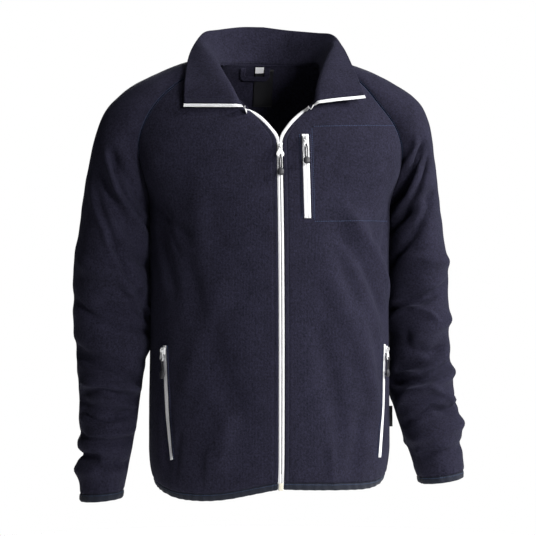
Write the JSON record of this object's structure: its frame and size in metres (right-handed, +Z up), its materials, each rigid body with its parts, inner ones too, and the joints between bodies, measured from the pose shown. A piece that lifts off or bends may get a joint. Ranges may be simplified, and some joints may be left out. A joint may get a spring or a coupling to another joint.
{
  "type": "fleece zip jacket",
  "caption": "Full-zip raglan fleece jacket filled out as worn, collar folded open, with zipped chest and hand pockets.",
  "frame": {"origin": "middle of the neck, level with the neck seam at the sides of the neck, where the wearer's shoulders hold the jacket", "axes": "+Z up, the front faces -Y, the wearer's left is +X"},
  "size_m": [0.6563, 0.2768, 0.7986],
  "materials": {
    "fleece": "matte navy fleece with a short nap",
    "binding": "matte stretch binding, blue navy",
    "zip_tape": "white woven tape",
    "slider_enamel": "white gloss enamel",
    "cream_plastic": "cream moulded plastic",
    "cord": "black braided cord with moulded grip",
    "label": "black woven label"
  },
  "bodies": {
    "jacket": {"front_right": "fleece", "front_left": "fleece", "back": "fleece", "sleeve_right": "fleece", "sleeve_left": "fleece", "collar": "fleece", "hanging_loop": "fleece", "hem_binding": "binding", "cuff_binding_right": "binding", "cuff_binding_left": "binding", "zip_tape_right": "zip_tape", "zip_tape_left": "zip_tape", "chest_zip": "zip_tape", "pocket_right_zip": "zip_tape", "pocket_left_zip": "zip_tape", "size_label": "zip_tape", "neck_label": "label", "side_label": "label", "zip_box": "cream_plastic", "main_slider": "slider_enamel", "chest_slider": "slider_enamel", "pocket_right_slider": "slider_enamel", "pocket_left_slider": "slider_enamel"},
    "main_pull": {"main_tab": "slider_enamel", "main_cord_pull": "cord"},
    "chest_pull": {"chest_tab": "slider_enamel", "chest_cord_pull": "cord"},
    "pocket_right_pull": {"pocket_right_tab": "slider_enamel", "pocket_right_cord_pull": "cord"},
    "pocket_left_pull": {"pocket_left_tab": "slider_enamel", "pocket_left_cord_pull": "cord"}
  },
  "joints": [
    {"name": "main_pull_swing", "type": "hinge", "parent": "jacket", "child": "main_pull", "pos_m": [0, -0.13136, -0.14709], "axis": [-1, 0, 0], "range_deg": [0, 160]},
    {"name": "chest_pull_swing", "type": "hinge", "parent": "jacket", "child": "chest_pull", "pos_m": [0.04237, -0.12953, -0.13447], "axis": [-0.9985, -0.054, 0.0063], "range_deg": [0, 160]},
    {"name": "pocket_right_pull_swing", "type": "hinge", "parent": "jacket", "child": "pocket_right_pull", "pos_m": [-0.18687, -0.07751, -0.47792], "axis": [-0.526, 0.8495, -0.0417], "range_deg": [0, 160]},
    {"name": "pocket_left_pull_swing", "type": "hinge", "parent": "jacket", "child": "pocket_left_pull", "pos_m": [0.18686, -0.07766, -0.47787], "axis": [-0.5271, -0.8488, 0.0422], "range_deg": [0, 160]}
  ]
}
